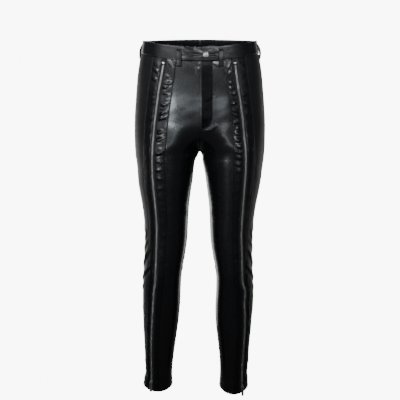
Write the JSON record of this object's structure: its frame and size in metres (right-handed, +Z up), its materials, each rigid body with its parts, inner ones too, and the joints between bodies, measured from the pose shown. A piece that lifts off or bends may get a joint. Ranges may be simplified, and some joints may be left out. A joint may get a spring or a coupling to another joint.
{
  "type": "faux leather trousers",
  "caption": "Black skinny faux leather trousers in worn shape, with long zips down the fronts between puckered strips, belt loops and a shank button.",
  "frame": {"origin": "the middle of the waist opening, level with the waistband's top edge at the sides", "axes": "+Z up along the wearer, the front faces -Y, +X is towards the wearer's left"},
  "size_m": [0.3613, 0.2483, 1.0018],
  "materials": {
    "faux_leather": "coated black cloth with a soft gloss and fine grain",
    "coated_stretch": "coated black stretch cloth, duller than the fronts",
    "zip_tape": "woven black zip tape",
    "zip_metal": "nickel-coloured metal, lightly brushed",
    "button_metal": "nickel-coloured metal with a raised ring"
  },
  "bodies": {
    "garment": {"front_centre_left": "faux_leather", "strip_inner_left": "faux_leather", "strip_outer_left": "faux_leather", "front_side_left": "coated_stretch", "back_left": "coated_stretch", "zip_tape_left": "zip_tape", "zip_chain_left": "zip_metal", "zip_end_stop_left": "zip_metal", "zip_slider_left": "zip_metal", "waistband_left": "faux_leather", "front_centre_right": "faux_leather", "strip_inner_right": "faux_leather", "strip_outer_right": "faux_leather", "front_side_right": "coated_stretch", "back_right": "coated_stretch", "zip_tape_right": "zip_tape", "zip_chain_right": "zip_metal", "zip_end_stop_right": "zip_metal", "zip_slider_right": "zip_metal", "waistband_right": "faux_leather", "fly_placket": "faux_leather", "belt_loop_front_left": "faux_leather", "belt_loop_front_right": "faux_leather", "belt_loop_side_left": "faux_leather", "belt_loop_side_right": "faux_leather", "belt_loop_back": "faux_leather", "button": "button_metal"},
    "pull_left": {"zip_pull_left": "zip_metal"},
    "pull_right": {"zip_pull_right": "zip_metal"}
  },
  "joints": [
    {"name": "pull_left_swing", "type": "hinge", "parent": "garment", "child": "pull_left", "pos_m": [0.12088, -0.03445, -0.96823], "axis": [-0.8159, -0.5775, 0.0296], "range_deg": [0, 160]},
    {"name": "pull_right_swing", "type": "hinge", "parent": "garment", "child": "pull_right", "pos_m": [-0.13817, -0.03665, -0.95502], "axis": [-0.873, 0.4866, -0.0339], "range_deg": [0, 160]}
  ]
}
